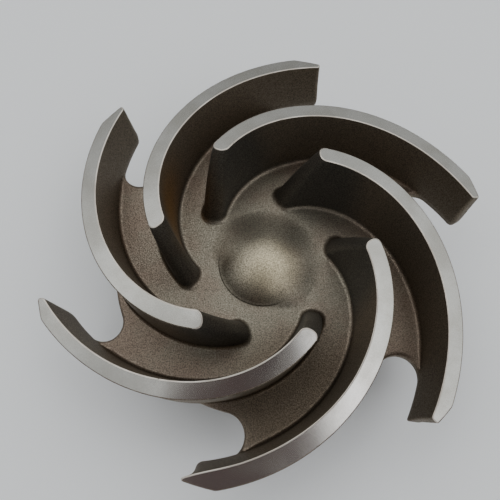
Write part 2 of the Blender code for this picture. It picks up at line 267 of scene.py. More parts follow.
@dataclass(frozen=True)
class VaneForm:
    """Section, nose and trailing edge of the vanes as they leave the mould.

    Where a size has six values, there is one for each vane, since each was dressed by hand.
    """

    sizes: MainSizes
    line: MeanLine
    inlet_thickness: float = 7.7 * MM
    outlet_thickness: float = 7.0 * MM
    concave_draft: float = 3.0 * MM
    low_draft_share: float = 0.8
    nose_share_root: float = 0.375
    nose_share_top: float = 0.459
    nose_rise: float = 1.5
    nose_dressing: Floats = mm(1.5, 0.2, 0.6, -0.8, 0.3, 0.5)
    nose_corner: float = 0.85
    blunt_shares_top: Floats = (0.975, 0.977, 0.975, 0.972, 0.972, 0.982)
    blunt_shares_root: Floats = (0.954, 0.954, 0.954, 0.941, 0.954, 0.963)
    tip_angles_top: Floats = (10.8, 10.6, 10.8, 10.8, 8.6, 9.9)
    tip_angles_root: Floats = (10.2,) * 6
    tip_growth: Floats = mm(0.0, 0.0, 0.0, -0.4, 0.6, -0.2)
    growth_start: float = 0.70
    growth_reach: float = 0.20
    convex_lean: Floats = mm(0.0, 0.0, 0.0, 1.2, 0.0, 0.0)
    tip_rounds: Floats = mm(0.8, 0.8, 0.8, 1.6, 2.3, 1.2)
    tip_clearance: float = 0.2 * MM
    tip_zone: float = 0.93
    blunt_edge_top: float = 0.5 * MM
    blunt_edges_root: Floats = mm(2.4, 1.5, 4.5, 4.5, 3.0, 0.9)
    low_edge: float = 1.5 * MM
    station_shares: Pair = (0.6, 1.11)
    halvings: int = 40

    def thickness(self, radius: Array) -> Array:
        """Thickness at the turned face, tapering from inlet to outlet."""
        u = self.line.span_share(radius)
        return self.inlet_thickness + (self.outlet_thickness - self.inlet_thickness) * u

    def concave_point(self, radius: float, clearance: float) -> Array:
        """A point off the concave side, at a clearance from its top edge."""
        point, _, convex = self.line.place(np.array(radius))
        return point - convex * (self.thickness(radius) / 2.0 + clearance)

    def concave_station(self, length: float, clearance: float) -> float:
        """Find, by halving, which point off the concave side lies at a distance from the axis.

        Args:
            length: The distance from the axis.
            clearance: The point's distance from the side's top edge.

        Returns:
            The line's radius beside that point.
        """
        low, high = (share * self.sizes.outer_radius for share in self.station_shares)
        for _ in range(self.halvings):
            station = (low + high) / 2.0
            if np.linalg.norm(self.concave_point(station, clearance)) < length:
                low = station
            else:
                high = station
        return station

    def blunt_line(self, blunt: float, angle: float, draft: float) -> tuple[Array, Array]:
        """The trailing edge's blunt end in plan, at one height.

        Args:
            blunt: Where the end leaves the concave side, as a share of the outer radius.
            angle: Direction from the axis, in degrees, of its other end.
            draft: How far the concave side stands out at this height.

        Returns:
            A point on the blunt end, and the normal that points out of the metal.
        """
        radius = self.sizes.outer_radius
        start = self.concave_point(self.concave_station(blunt * radius, draft), draft)
        along = radius * heading(math.radians(angle)) - start
        return start, -quarter_turn(along / np.linalg.norm(along))

    def nearest(self, points: Array) -> tuple[Array, Array, Array]:
        """Find the nearest vane to each point of the plan.

        Args:
            points: Points of the plan, in the last axis.

        Returns:
            The vane's number, the foot's radius on its line, and the distance from the line.
        """
        count = self.sizes.vane_count
        radii, _, lengths = self.line.tables()
        nose = np.interp(self.nose_share_root * self.sizes.outer_radius, radii, lengths)
        found = [self.line.foot(points, math.tau * number / count) for number in range(count)]
        feet, offsets = (np.array(part) for part in zip(*found))
        past = np.maximum(np.interp(feet, radii, lengths) - nose, 0.0)
        vane = np.hypot(past, offsets).argmin(axis=0)
        foot, offset = (np.take_along_axis(v, vane[None], axis=0)[0] for v in (feet, offsets))
        return vane, foot, offset

    def past_blunt(self, points: Array, vane: Array, draft: Array) -> Array:
        """Distance beyond the blunt trailing edges, without their rounded corners.

        Args:
            points: Points of the plan, one for each column.
            vane: The nearest vane of each.
            draft: Share of the draft, with the height in the last axis.

        Returns:
            Distance, negative inside.
        """
        ahead = heading(math.tau * vane / self.sizes.vane_count)
        axes = (ahead, quarter_turn(ahead))
        spun = np.stack([(points * axis).sum(axis=-1) for axis in axes], axis=-1)
        ends = []
        for blunts, angles, depth in ((self.blunt_shares_top, self.tip_angles_top, 0.0),
                                      (self.blunt_shares_root, self.tip_angles_root,
                                       self.concave_draft)):
            lines = [self.blunt_line(*one, depth) for one in zip(blunts, angles)]
            start, normal = (np.array(part)[vane] for part in zip(*lines))
            ends.append(((spun - start) * normal).sum(axis=-1)[..., None])
        return ends[0] * (1.0 - draft) + ends[1] * draft

    def distance(self, points: Array, heights: Array) -> Array:
        """Distance to the vanes, from the shroud's back to above the turned face.

        Args:
            points: Points of the plan, one for each column.
            heights: Heights along the columns.

        Returns:
            Distance, negative inside, with the height in the last axis.
        """
        sizes = self.sizes
        vane, foot, offset = self.nearest(points)

        def dressed(values: Sequence[float]) -> Array:
            """The vane's own value, at each point."""
            return np.array(values)[vane][..., None]

        top = sizes.face_height(reach(points))[..., None]
        sunk = np.clip((sizes.floor - heights) / sizes.shroud_thickness, 0.0, 1.0)
        draft = np.clip((top - heights) / (top - sizes.floor), 0.0, 1.0)
        draft = draft * (1.0 - (1.0 - self.low_draft_share) * sunk)

        radii, _, lengths = self.line.tables()
        face = sizes.face_height(self.nose_share_top * sizes.outer_radius)
        rise = np.clip((heights - sizes.floor) / (face - sizes.floor), 0.0, self.nose_rise)
        share = self.nose_share_root + (self.nose_share_top - self.nose_share_root) * rise
        nose = np.interp(share * sizes.outer_radius, radii, lengths)
        past = np.interp(foot, radii, lengths)[..., None] - nose - dressed(self.nose_dressing)

        growth = smooth_step((foot / sizes.outer_radius - self.growth_start) / self.growth_reach)
        half = self.thickness(foot)[..., None] / 2.0 + dressed(self.tip_growth) * growth[..., None]
        concave = half + self.concave_draft * draft
        convex = half - dressed(self.convex_lean) * draft
        width = (convex + concave) / 2.0
        aside = np.abs(offset[..., None] - (convex - concave) / 2.0) - width
        distance = blend_cut(past - width, aside, self.nose_corner * width)

        rim = sizes.past_rim(points)[..., None] - self.tip_clearance
        blunt = self.past_blunt(points, vane, draft)
        blunt = blend_cut(blunt, rim, dressed(self.tip_rounds))
        edge = dressed(self.blunt_edges_root) - self.blunt_edge_top
        edge = self.blunt_edge_top + edge * draft
        near_tip = (foot > self.tip_zone * sizes.outer_radius)[..., None]
        distance = np.where(near_tip, blend_cut(distance, blunt, edge), distance)
        distance = np.maximum(distance, heights - top - sizes.machining_allowance)
        return blend_cut(distance, sizes.shroud_back - heights, self.low_edge)


@dataclass(frozen=True)
class ShroudForm:
    """The disc that carries the vanes, with a scallop between each two of them."""

    sizes: MainSizes
    vanes: VaneForm
    rim_share: float = 0.93
    beyond_share: float = 1.1
    scallop_radius: float = 72.7 * MM
    scallop_clearance: float = 2.3 * MM
    scallop_corners: Floats = mm(9.4, 9.4, 8.8, 8.8, 10.3, 9.8)
    rim_roll: float = 1.5 * MM
    corner_points: int = 24
    side_points: int = 16

    def scallop_outline(self, corner: float) -> Array:
        """One scallop in plan: round a corner off a concave side, then along the circle.

        Args:
            corner: Radius of the corner against the vane.

        Returns:
            The closed outline's points.
        """
        vanes, line = self.vanes, self.vanes.line
        beyond = self.beyond_share * self.sizes.outer_radius
        to_centre = self.scallop_clearance + corner
        station = vanes.concave_station(self.scallop_radius + corner, to_centre)
        centre = vanes.concave_point(station, to_centre)
        start = angle_of(vanes.concave_point(station, self.scallop_clearance) - centre)
        end = angle_of(-centre)
        if end < start:
            end += math.tau
        corner_arc = centre + arc(corner, start, end, self.corner_points)
        radii, angles, _ = line.tables()
        pitch = math.tau / self.sizes.vane_count
        circle_end = np.interp(self.scallop_radius, radii, angles) - pitch
        circle = arc(self.scallop_radius, angle_of(centre), circle_end, self.corner_points)
        out = np.linspace(self.scallop_radius, beyond, self.side_points)
        next_vane = line.place(out, -pitch)[0]
        own_vane = line.place(np.linspace(beyond, station, self.side_points))[0]
        rim = arc(beyond, angle_of(next_vane[-1]), angle_of(own_vane[0]), self.side_points)
        return np.concatenate([corner_arc, circle[1:], next_vane[1:], rim[1:-1], own_vane])

    def plan_distance(self, points: Array) -> Array:
        """Distance in plan to the disc with its scallops.

        Args:
            points: Points of the plan, in the last axis.

        Returns:
            Distance, negative inside.
        """
        plan = reach(points) - self.rim_share * self.sizes.outer_radius
        for number, corner in enumerate(self.scallop_corners):
            ahead = heading(math.tau * number / self.sizes.vane_count)
            outline = self.scallop_outline(corner) @ np.array([ahead, quarter_turn(ahead)])
            plan = np.maximum(plan, -outline_distance(points, outline))
        return plan

    def distance(self, plan: Array, heights: Array) -> Array:
        """Distance to the disc, its rims rolled off, from that in plan, with the height last."""
        up = np.abs(heights - self.sizes.shroud_middle) - self.sizes.shroud_thickness / 2.0
        return blend_cut(plan[..., None], up, self.rim_roll)


def outline_distance(points: Array, outline: Array) -> Array:
    """Signed distance in plan to a closed outline.

    Args:
        points: Points of the plan, in the last axis.
        outline: The outline's corners, in order.

    Returns:
        Distance, negative inside.
    """
    nearest = np.full(points.shape[:-1], np.inf)
    inside = np.zeros(points.shape[:-1], bool)
    for a, b in zip(outline, np.roll(outline, -1, axis=0)):
        side, apart = b - a, points - a
        share = np.clip((apart @ side) / (side @ side), 0.0, 1.0)
        gap = apart - share[..., None] * side
        nearest = np.minimum(nearest, (gap * gap).sum(axis=-1))
        crosses = (a[1] > points[..., 1]) != (b[1] > points[..., 1])
        height = np.where(side[1] == 0.0, 1.0, side[1])
        meets = a[0] + side[0] * (points[..., 1] - a[1]) / height
        inside ^= crosses & (points[..., 0] < meets)
    return np.where(inside, -1.0, 1.0) * np.sqrt(nearest)


@dataclass(frozen=True)
class HubForm:
    """The hub on the back and the closed nose, a low dome, on the front."""

    sizes: MainSizes
    radius: float = 28.5 * MM
    cast_step: float = 0.5 * MM
    chamfer: float = 1.2 * MM
    fillet: float = 6.0 * MM
    overlap: float = 1.0 * MM
    dome_radius: float = 21.3 * MM
    dome_height: float = 6.5 * MM
    dome_fillet_soft: float = 4.5 * MM
    dome_fillet_sharp: float = 0.6 * MM
    sharp_direction: float = math.radians(230.0)
    sharp_start: float = 0.2
    sharp_reach: float = 0.6

    def hub_distance(self, points: Array, heights: Array) -> Array:
        """Distance to the hub as cast, a cylinder that reaches into the shroud.

        Args:
            points: Points of the plan, one for each column.
            heights: Heights along the columns.

        Returns:
            Distance, negative inside, with the height in the last axis.
        """
        out = reach(points)[..., None] - self.radius - self.cast_step
        front = heights - self.sizes.floor + self.overlap
        return np.maximum(out, np.maximum(front, -self.sizes.machining_allowance - heights))

    def dome_distance(self, points: Array, heights: Array) -> Array:
        """Distance to the sphere whose cap is the dome.

        Args:
            points: Points of the plan, one for each column.
            heights: Heights along the columns.

        Returns:
            Distance, negative inside, with the height in the last axis.
        """
        sphere = (self.dome_radius**2 + self.dome_height**2) / (2.0 * self.dome_height)
        centre = self.sizes.floor + self.dome_height - sphere
        cap = np.hypot(reach(points)[..., None], heights - centre) - sphere
        return np.maximum(cap, self.sizes.shroud_back + self.overlap - heights)

    def dome_fillet(self, points: Array) -> Array:
        """Radius round the dome's foot: nearly sharp on one side, where the core left a crease.

        Args:
            points: Points of the plan, one for each column.

        Returns:
            The radius for each, with a last axis for the height.
        """
        angle = np.arctan2(points[..., 1], points[..., 0]) - self.sharp_direction
        share = smooth_step((np.cos(angle) - self.sharp_start) / self.sharp_reach)[..., None]
        return self.dome_fillet_soft + (self.dome_fillet_sharp - self.dome_fillet_soft) * share


@dataclass(frozen=True)
class CastBody:
    """The whole casting before it is machined."""

    sizes: MainSizes
    vanes: VaneForm
    shroud: ShroudForm
    hub: HubForm
    root_fillet: float = 2.1 * MM
    root_fade: float = 7.0 * MM
    pitch: float = 0.7 * MM
    quick_pitch: float = 1.2 * MM
    margin: float = 3.0 * MM
    cells_below: float = 2.0
    nose_headroom: float = 0.8
    face_budget: int = 150_000

    def grid(self) -> tuple[Array, Array, Array, float]:
        """Points of the plan and heights at which the distance is taken.

        Returns:
            The plan's points, the heights, the grid's lowest corner and its pitch.
        """
        pitch = self.pitch
        aside = self.sizes.rim_radius + self.margin
        low = -self.sizes.machining_allowance - self.cells_below * pitch
        nose = self.vanes.nose_share_root * self.sizes.outer_radius * self.nose_headroom
        across = np.arange(-aside, aside + pitch, pitch)
        heights = np.arange(low, self.sizes.face_height(nose) + self.margin, pitch)
        plan = np.stack(np.meshgrid(across, across, indexing="ij"), axis=-1)
        return plan, heights, np.array([across[0], across[0], low]), pitch

    def distance(self, points: Array, heights: Array) -> Array:
        """Distance to the casting: shroud, vanes with their roots, hub and dome.

        Args:
            points: Points of the plan, one for each column.
            heights: Heights along the columns.

        Returns:
            Distance, negative inside, with the height in the last axis.
        """
        sizes, hub = self.sizes, self.hub
        plan = self.shroud.plan_distance(points)
        front = heights > sizes.shroud_middle
        fade = smooth_step(-plan / self.root_fade)[..., None]
        body = blend_union(self.shroud.distance(plan, heights),
                           self.vanes.distance(points, heights),
                           fade * np.where(front, self.root_fillet, 0.0))
        lower = blend_union(body, hub.hub_distance(points, heights), hub.fillet)
        upper = blend_union(body, hub.dome_distance(points, heights), hub.dome_fillet(points))
        rim = sizes.past_rim(points)[..., None] - sizes.machining_allowance / 2.0
        return np.maximum(np.where(front, upper, lower), rim)

    def mesh(self, name: str) -> Mesh:
        """The casting's closed mesh, made from its distance field."""
        plan, heights, corner, pitch = self.grid()
        return net_mesh(name, self.distance(plan, heights), corner, pitch)


def net_mesh(name: str, values: Array, corner: Array, pitch: float) -> Mesh:
    """Make a closed mesh where a field on a grid passes through zero.

    Each grid cell that the surface crosses gets one vertex, in the middle of its crossings, and
    each crossed grid edge gets one face between the four cells around it.

    Args:
        name: The mesh's name.
        values: The field, negative inside.
        corner: The grid's lowest corner.
        pitch: The grid's pitch.

    Returns:
        The mesh.
    """
    cells = np.array(values.shape) - 1
    inside = values < 0.0
    count = np.zeros(int(cells.prod()))
    total = np.zeros((3, count.size))
    around_edges, flips = [], []
    for axis, step in enumerate(np.eye(3, dtype=int)):
        crossed = inside != np.roll(inside, -1, axis=axis)
        last = [slice(None)] * 3
        last[axis] = slice(-1, None)
        crossed[tuple(last)] = False
        index = np.argwhere(crossed)
        here = values[tuple(index.T)]
        there = values[tuple((index + step).T)]
        place = index + (here / (here - there))[:, None] * step
        ring = []
        for back_first, back_second in ((0, 0), (1, 0), (1, 1), (0, 1)):
            cell = index.copy()
            cell[:, (axis + 1) % 3] -= back_first
            cell[:, (axis + 2) % 3] -= back_second
            number = np.ravel_multi_index(tuple(cell.T), tuple(cells), mode="clip")
            ring.append(number)
            count += np.bincount(number, minlength=count.size)
            for i in range(3):
                total[i] += np.bincount(number, weights=place[:, i], minlength=count.size)
        around_edges.append(np.stack(ring, axis=-1))
        flips.append(here < 0.0)
    used = np.nonzero(count)[0]
    renumber = np.zeros(count.size, np.int64)
    renumber[used] = np.arange(used.size)
    vertices = (total[:, used] / count[used]).T * pitch + corner
    quads = renumber[np.concatenate(around_edges)]
    flip = np.concatenate(flips)
    quads[flip] = quads[flip][:, ::-1]
    mesh = bpy.data.meshes.new(name)
    mesh.from_pydata(vertices.tolist(), [], quads.tolist())
    mesh.validate()
    return mesh


def link_object(name: str, mesh: Mesh) -> Object:
    """Put a mesh in the scene.

    Args:
        name: The object's name.
        mesh: The mesh.

    Returns:
        The object.
    """
    made = bpy.data.objects.new(name, mesh)
    bpy.context.scene.collection.objects.link(made)
    return made


def apply_modifiers(made: Object) -> None:
    """Bake an object's modifiers into its mesh.

    Args:
        made: The object, which is changed.
    """
    graph = bpy.context.evaluated_depsgraph_get()
    baked = bpy.data.meshes.new_from_object(made.evaluated_get(graph))
    made.modifiers.clear()
    made.data = baked


def add_face(bm: BMesh, corners: Sequence[BMVert], finish: Surface) -> None:
    """Add a smooth face with a finish."""
    made = bm.faces.new(corners)
    made.smooth, made.material_index = True, finish.value


def turned_object(name: str, profile: Sequence[tuple[float, float, Surface]],
                  segments: int) -> Object:
    """Make a solid of revolution about the axis.

    Args:
        name: The object's name.
        profile: Radius, height and the finish of the surface that leads on to the next point;
            the first and last points lie on the axis.
        segments: Sides of the solid.

    Returns:
        The object, each face carrying its finish's number.
    """
    bm = bmesh.new()
    turns = [math.tau * i / segments for i in range(segments)]
    rings = []
    for radius, z, _ in profile:
        spots = [(radius * math.cos(t), radius * math.sin(t), z) for t in turns]
        rings.append([bm.verts.new(spot) for spot in (spots if radius else [(0.0, 0.0, z)])])
    for (_, _, finish), first, second in zip(profile, rings, rings[1:]):
        for i in range(segments):
            j = (i + 1) % segments
            corners = [first[i % len(first)], first[j % len(first)]]
            corners += [second[j % len(second)], second[i % len(second)]]
            add_face(bm, list(dict.fromkeys(corners)), finish)
    return solid_object(name, bm)


def solid_object(name: str, bm: BMesh) -> Object:
    """Finish a closed bmesh with outward triangles and put it in the scene.

    Args:
        name: The object's name.
        bm: The bmesh, which is freed.

    Returns:
        The object.
    """
    bmesh.ops.triangulate(bm, faces=bm.faces)
    bmesh.ops.recalc_face_normals(bm, faces=bm.faces)
    if bm.calc_volume(signed=True) < 0.0:
        bmesh.ops.reverse_faces(bm, faces=bm.faces)
    mesh = bpy.data.meshes.new(name)
    bm.to_mesh(mesh)
    bm.free()
    return link_object(name, mesh)


@dataclass(frozen=True)
class ScrewThread:
    """The shaft thread in the bore: a coarse V thread with narrow flats."""

    radius: float = 15.0 * MM
    pitch: float = 3.5 * MM
    depth: float = 1.9 * MM
    start: float = 1.0 * MM
    turns: float = 7.5
    segments: int = 64
    crest: Pair = (0.3125, 0.4375)
    flank_end: float = 0.75

    def cutter(self) -> Object:
        """The tap's shape as one closed body, its rows of points running along the helix.

        Returns:
            The tap.
        """
        minor = self.radius - self.depth
        teeth = [(0.0, minor), *((share, self.radius) for share in self.crest),
                 (self.flank_end, minor)]
        per_turn = len(teeth)
        rows = int(self.turns * per_turn) + 1
        bm = bmesh.new()
        grid: list[list[BMVert]] = []
        for row in range(rows + per_turn):
            share, radius = teeth[row % per_turn]
            base = self.start + self.pitch * (row // per_turn + share)
            points = []
            for i in range(1 if row >= rows else self.segments):
                turn = math.tau * i / self.segments
                spot = (radius * math.cos(turn), radius * math.sin(turn))
                points.append(bm.verts.new((*spot, base + self.pitch * i / self.segments)))
            grid.append(points)
        faces = []
        for row in range(rows - 1):
            here, above = grid[row], grid[row + 1]
            for i in range(self.segments - 1):
                faces.append((here[i], here[i + 1], above[i + 1], above[i]))
            turn_on = grid[row + per_turn][0], grid[row + per_turn + 1][0]
            faces.append((here[-1], *turn_on, above[-1]))
        start_edge = grid[0] + [grid[row][0] for row in range(per_turn, 0, -1)]
        end_rows = range(rows - 1 + per_turn, rows - 1, -1)
        end_edge = grid[rows - 1] + [grid[row][0] for row in end_rows]
        for edge in (start_edge, end_edge):
            middle = bm.verts.new((0.0, 0.0, sum(v.co.z for v in edge) / len(edge)))
            faces += [(a, b, middle) for a, b in zip(edge, edge[1:] + edge[:1])]
        for corners in faces:
            add_face(bm, corners, Surface.TURNED_HUB)
        return solid_object("thread_tap", bm)


@dataclass(frozen=True)
class Lathe:
    """What is cut from the casting: front face, outside diameter, hub, bore and thread."""

    sizes: MainSizes
    vanes: VaneForm
    hub: HubForm
    thread: ScrewThread
    edge_break: float = 0.65 * MM
    convex_break: float = 0.38 * MM
    edge_drop: float = 0.3 * MM
    convex_start: float = 0.2
    convex_fade: float = 0.5
    nose_break: float = 0.7 * MM
    nose_share: float = 0.47
    nose_fade: float = 0.04
    edge_rings: int = 3
    skim: float = 0.05 * MM
    normal_window: float = 0.8 * MM
    least_loop: int = 40
    weld: float = 0.02 * MM
    on_face: float = 0.03 * MM
    same_place: float = 1e-9
    tip_corner: float = 5.0 * MM
    corner_points: int = 7
    turned_hub_length: float = 23.0 * MM
    hub_run_out: float = 0.5 * MM
    clear_radius: float = 35.5 * MM
    lead_angle: float = math.radians(75.0)
    lead_length: float = 8.0 * MM
    beyond: float = 4.0 * MM
    bore_beyond: float = 1.0 * MM
    core_clearance: float = 0.2 * MM
    recess_radius: float = 18.0 * MM
    recess_depth: float = 5.0 * MM
    recess_chamfer: float = 0.8 * MM
    relief_radius: float = 15.5 * MM
    relief_start: float = 27.0 * MM
    relief_end: float = 31.0 * MM
    bore_end: float = 36.0 * MM
    segments: int = 360
    bore_segments: int = 128

    def faces(self) -> Object:
        """Everything inside the turned hub and front face, which is lowered by the edge drop.

        Returns:
            The tool.
        """
        sizes, hub = self.sizes, self.hub
        outside, underside = sizes.outer_radius + self.beyond, sizes.shroud_back - self.beyond
        cast, face, turned = Surface.CAST, Surface.TURNED_FACE, Surface.TURNED_HUB
        return turned_object("turned_faces", [
            (0.0, 0.0, turned),
            (hub.radius - hub.chamfer, 0.0, turned),
            (hub.radius, hub.chamfer, turned),
            (hub.radius, self.turned_hub_length, turned),
            (self.clear_radius, self.turned_hub_length + self.hub_run_out, cast),
            (self.clear_radius, underside, cast),
            (outside, underside, cast),
            (outside, sizes.face_height(outside) - self.edge_drop, face),
            (0.0, sizes.face_height(0.0) - self.edge_drop, face),
        ], self.segments)

    def rim(self) -> Object:
        """Everything inside the outside diameter, with the tips' rounded lower corner.

        Returns:
            The tool.
        """
        sizes, cast = self.sizes, Surface.CAST
        corner = []
        for turn in np.linspace(-self.lead_angle, 0.0, self.corner_points):
            out = sizes.rim_radius - self.tip_corner * (1.0 - math.cos(turn))
            corner.append((out, sizes.shroud_back + self.tip_corner * (1.0 + math.sin(turn)), cast))
        lead_radius = corner[0][0] - self.lead_length * math.sin(self.lead_angle)
        lead_height = corner[0][1] - self.lead_length * math.cos(self.lead_angle)
        top = sizes.face_height(0.0) + self.beyond
        made = turned_object("turned_rim", [
            (0.0, -self.beyond, cast),
            (lead_radius, -self.beyond, cast),
            (lead_radius, lead_height, cast),
            *corner[:-1],
            (sizes.rim_radius, corner[-1][1], Surface.TURNED_RIM),
            (sizes.rim_radius, top, cast),
            (0.0, top, cast),
        ], self.segments)
        made.data.transform(Matrix.Translation((*sizes.rim_centre, 0.0)))
        return made

    def bore(self) -> Object:
        """The recess, core, relief and drill point of the blind bore.

        Returns:
            The tool.
        """
        core = self.thread.radius - self.thread.depth - self.core_clearance
        recess, mouth = self.recess_radius, self.recess_chamfer + self.bore_beyond
        steps = [
            (0.0, -self.bore_beyond), (recess + mouth, -self.bore_beyond),
            (recess, self.recess_chamfer), (recess, self.recess_depth),
            (core, self.recess_depth), (core, self.relief_start),
            (self.relief_radius, self.relief_start), (self.relief_radius, self.relief_end),
            (0.0, self.bore_end),
        ]
        profile = [(*step, Surface.TURNED_HUB) for step in steps]
        return turned_object("bore_tool", profile, self.bore_segments)

    def cut(self, casting: Object) -> None:
        """Machine the casting.

        Args:
            casting: The raw casting, which is changed.
        """
        tools = [(self.faces(), "INTERSECT"), (self.rim(), "INTERSECT"),
                 (self.bore(), "DIFFERENCE"), (self.thread.cutter(), "DIFFERENCE")]
        for tool, operation in tools:
            for finish in casting.data.materials:
                tool.data.materials.append(finish)
            step = casting.modifiers.new(tool.name, "BOOLEAN")
            step.operation, step.solver, step.object = operation, "EXACT", tool
        apply_modifiers(casting)
        for tool, _ in tools:
            bpy.data.objects.remove(tool, do_unlink=True)

    def break_edges(self, casting: Object) -> None:
        """Rebuild the front face of each vane with its edges rolled over, as a file leaves them.

        Args:
            casting: The machined casting, which is changed.
        """
        bm = bmesh.new()
        bm.from_mesh(casting.data)
        bmesh.ops.remove_doubles(bm, verts=bm.verts, dist=self.weld)
        top = [f for f in bm.faces if self.on_front_face(f)]
        bmesh.ops.delete(bm, geom=top, context="FACES")
        for loop in open_loops(bm):
            if len(loop) >= self.least_loop:
                self.crown(bm, loop)
            else:
                bmesh.ops.contextual_create(bm, geom=loop)
        bm.to_mesh(casting.data)
        bm.free()

    def on_front_face(self, found: bmesh.types.BMFace) -> bool:
        """Whether a face lies on the cut front face."""
        cut = (self.sizes.face_height(v.co.xy.length) - self.edge_drop for v in found.verts)
        return all(abs(v.co.z - height) < self.on_face for v, height in zip(found.verts, cut))

    def crown(self, bm: BMesh, loop: list[BMVert]) -> None:
        """Close one vane: rolled edge first, then the turned land inside it.

        Args:
            bm: The mesh.
            loop: The vane's open outline, in order.
        """
        count = len(loop)
        sides = [(i, (i + 1) % count) for i in range(count)]
        plan = np.array([v.co[:2] for v in loop])
        inward = inward_normals(plan, self.normal_window)
        width, convex = self.edge_width(plan)
        lower = loop
        mark_edges(bm, loop, smooth=True)
        for step in range(1, self.edge_rings + 1):
            turn = math.pi / 2.0 * step / self.edge_rings
            spot = plan + inward * (width * (1.0 - math.cos(turn)))[:, None]
            drop = self.skim + (self.edge_drop - self.skim) * (1.0 - math.sin(turn))
            heights = self.sizes.face_height(reach(spot)) - drop
            upper = [bm.verts.new((x, y, z)) for (x, y), z in zip(spot, heights)]
            for i, j in sides:
                finish = Surface.CAST if convex[i] else Surface.BROKEN_EDGE
                add_face(bm, (lower[i], lower[j], upper[j], upper[i]), finish)
            lower = upper
        mark_edges(bm, lower, smooth=False)
        spots, _, triangles, _, _, _ = delaunay_2d_cdt([Vector(v.co[:2]) for v in lower],
                                                       sides, [], 1, self.same_place)
        added = [(*spot, self.sizes.face_height(spot.length) - self.skim) for spot in spots[count:]]
        land = lower + [bm.verts.new(spot) for spot in added]
        for corners in triangles:
            if len(set(corners)) == 3:
                add_face(bm, [land[i] for i in corners], Surface.TURNED_FACE)

    def edge_width(self, plan: Array) -> tuple[Array, Array]:
        """Width of the rolled edge along a vane: dressed at the nose and inside, narrow outside.

        Args:
            plan: The vane's outline at the front face.

        Returns:
            The width at each point, and whether the point is on the convex side or the rim.
        """
        _, foot, offset = self.vanes.nearest(plan)
        side = offset / self.vanes.thickness(foot)
        inside = 1.0 - smooth_step((side + self.convex_start) / self.convex_fade)
        width = self.convex_break + (self.edge_break - self.convex_break) * inside
        past = reach(plan) / self.sizes.outer_radius - self.nose_share
        nose = 1.0 - smooth_step(past / self.nose_fade)
        rim = self.sizes.past_rim(plan) > -self.on_face
        convex = (side > self.convex_start) & (past > self.nose_fade / 2.0)
        return np.maximum(width, self.nose_break * nose), convex | rim


def mark_edges(bm: BMesh, loop: Sequence[BMVert], smooth: bool) -> None:
    """Mark the edges round a closed loop as smooth or as sharp.

    Args:
        bm: The mesh.
        loop: The loop's vertices, in order.
        smooth: Whether they are smooth.
    """
    for a, b in zip(loop, [*loop[1:], loop[0]]):
        between = bm.edges.get((a, b))
        if between is not None:
            between.smooth = smooth


def open_loops(bm: BMesh) -> list[list[BMVert]]:
    """Follow the open edges of a mesh.

    Args:
        bm: The mesh.

    Returns:
        The vertices of each closed loop of open edges, in order.
    """
    ahead: dict[BMVert, BMVert] = {}
    for edge in bm.edges:
        if len(edge.link_faces) == 1:
            used = edge.link_loops[0]
            ahead[used.link_loop_next.vert] = used.vert
    loops = []
    while ahead:
        start = next(iter(ahead))
        loop, here = [start], ahead.pop(start)
        while here is not start and here in ahead:
            loop.append(here)
            here = ahead.pop(here)
        loops.append(loop)
    return loops


def inward_normals(plan: Array, window: float) -> Array:
    """Normals of a closed outline, smoothed over a length on either side.

    Args:
        plan: The outline's points.
        window: Length on either side over which the direction is taken.

    Returns:
        Unit normals that point into the outline.
    """
    ahead = np.roll(plan, -1, axis=0)
    along = np.concatenate([[0.0], np.cumsum(np.linalg.norm(ahead - plan, axis=1))])
    closed = np.vstack([plan, plan[:1]])

    def at(shift: float) -> Array:
        """The outline's points a length further on."""
        moved = (along[:-1] + shift) % along[-1]
        return np.stack([np.interp(moved, along, closed[:, i]) for i in range(2)], axis=-1)

    tangent = at(window) - at(-window)
    tangent /= np.linalg.norm(tangent, axis=1)[:, None]
    area = (plan[:, 0] * ahead[:, 1] - ahead[:, 0] * plan[:, 1]).sum()
    return math.copysign(1.0, area) * quarter_turn(tangent)


def linear(code: str) -> tuple[float, float, float, float]:
    """Linear RGBA of an sRGB colour, given as six hex digits after a #."""
    parts = [int(code[i:i + 2], 16) / 255.0 for i in (1, 3, 5)]
    return *(c / 12.92 if c <= 0.04045 else ((c + 0.055) / 1.055) ** 2.4 for c in parts), 1.0


def feed(node: Node, inputs: dict[str | int, Socket | Sequence[float] | float]) -> None:
    """Set a node's inputs, or link them to the sockets that feed them.

    Args:
        node: The node.
        inputs: Values or sockets, by the name or the number of the input.
    """
    for key, value in inputs.items():
        if isinstance(value, Socket):
            node.id_data.links.new(value, node.inputs[key])
        else:
            node.inputs[key].default_value = value


def add_node(tree: Tree, kind: str, *inputs: Socket | Sequence[float] | float,
             **settings: str) -> Socket:
    """Add a node with its settings and links.

    Args:
        tree: The node tree.
        kind: The node's type name, after its first word.
        *inputs: Values, or the sockets that feed them, for the inputs that the settings leave
            in use, in their order.
        **settings: Attributes of the node.

    Returns:
        The first output that the settings leave in use.
    """
    made = tree.nodes.new(f"ShaderNode{kind}")
    for key, value in settings.items():
        setattr(made, key, value)
    in_use = [i for i, socket in enumerate(made.inputs) if socket.enabled]
    feed(made, dict(zip(in_use, inputs)))
    return next(socket for socket in made.outputs if socket.enabled)


def new_finish(name: str) -> tuple[Material, Tree, Node]:
    """Start a material.

    Args:
        name: The material's name.

    Returns:
        The material, its node tree and its shader.
    """
    made = bpy.data.materials.new(name)
    made.use_nodes = True
    return made, made.node_tree, made.node_tree.nodes["Principled BSDF"]


@dataclass(frozen=True)
class Pattern:
    """A noise pattern: the size of its spots, and how many finer layers it has, how strong."""

    size: float
    layers: float = 3.0
    strength: float = 0.5

    @property
    def inputs(self) -> Triple:
        """What a noise node takes after the place: scale, detail and roughness."""
        return 1.0 / self.size, self.layers, self.strength


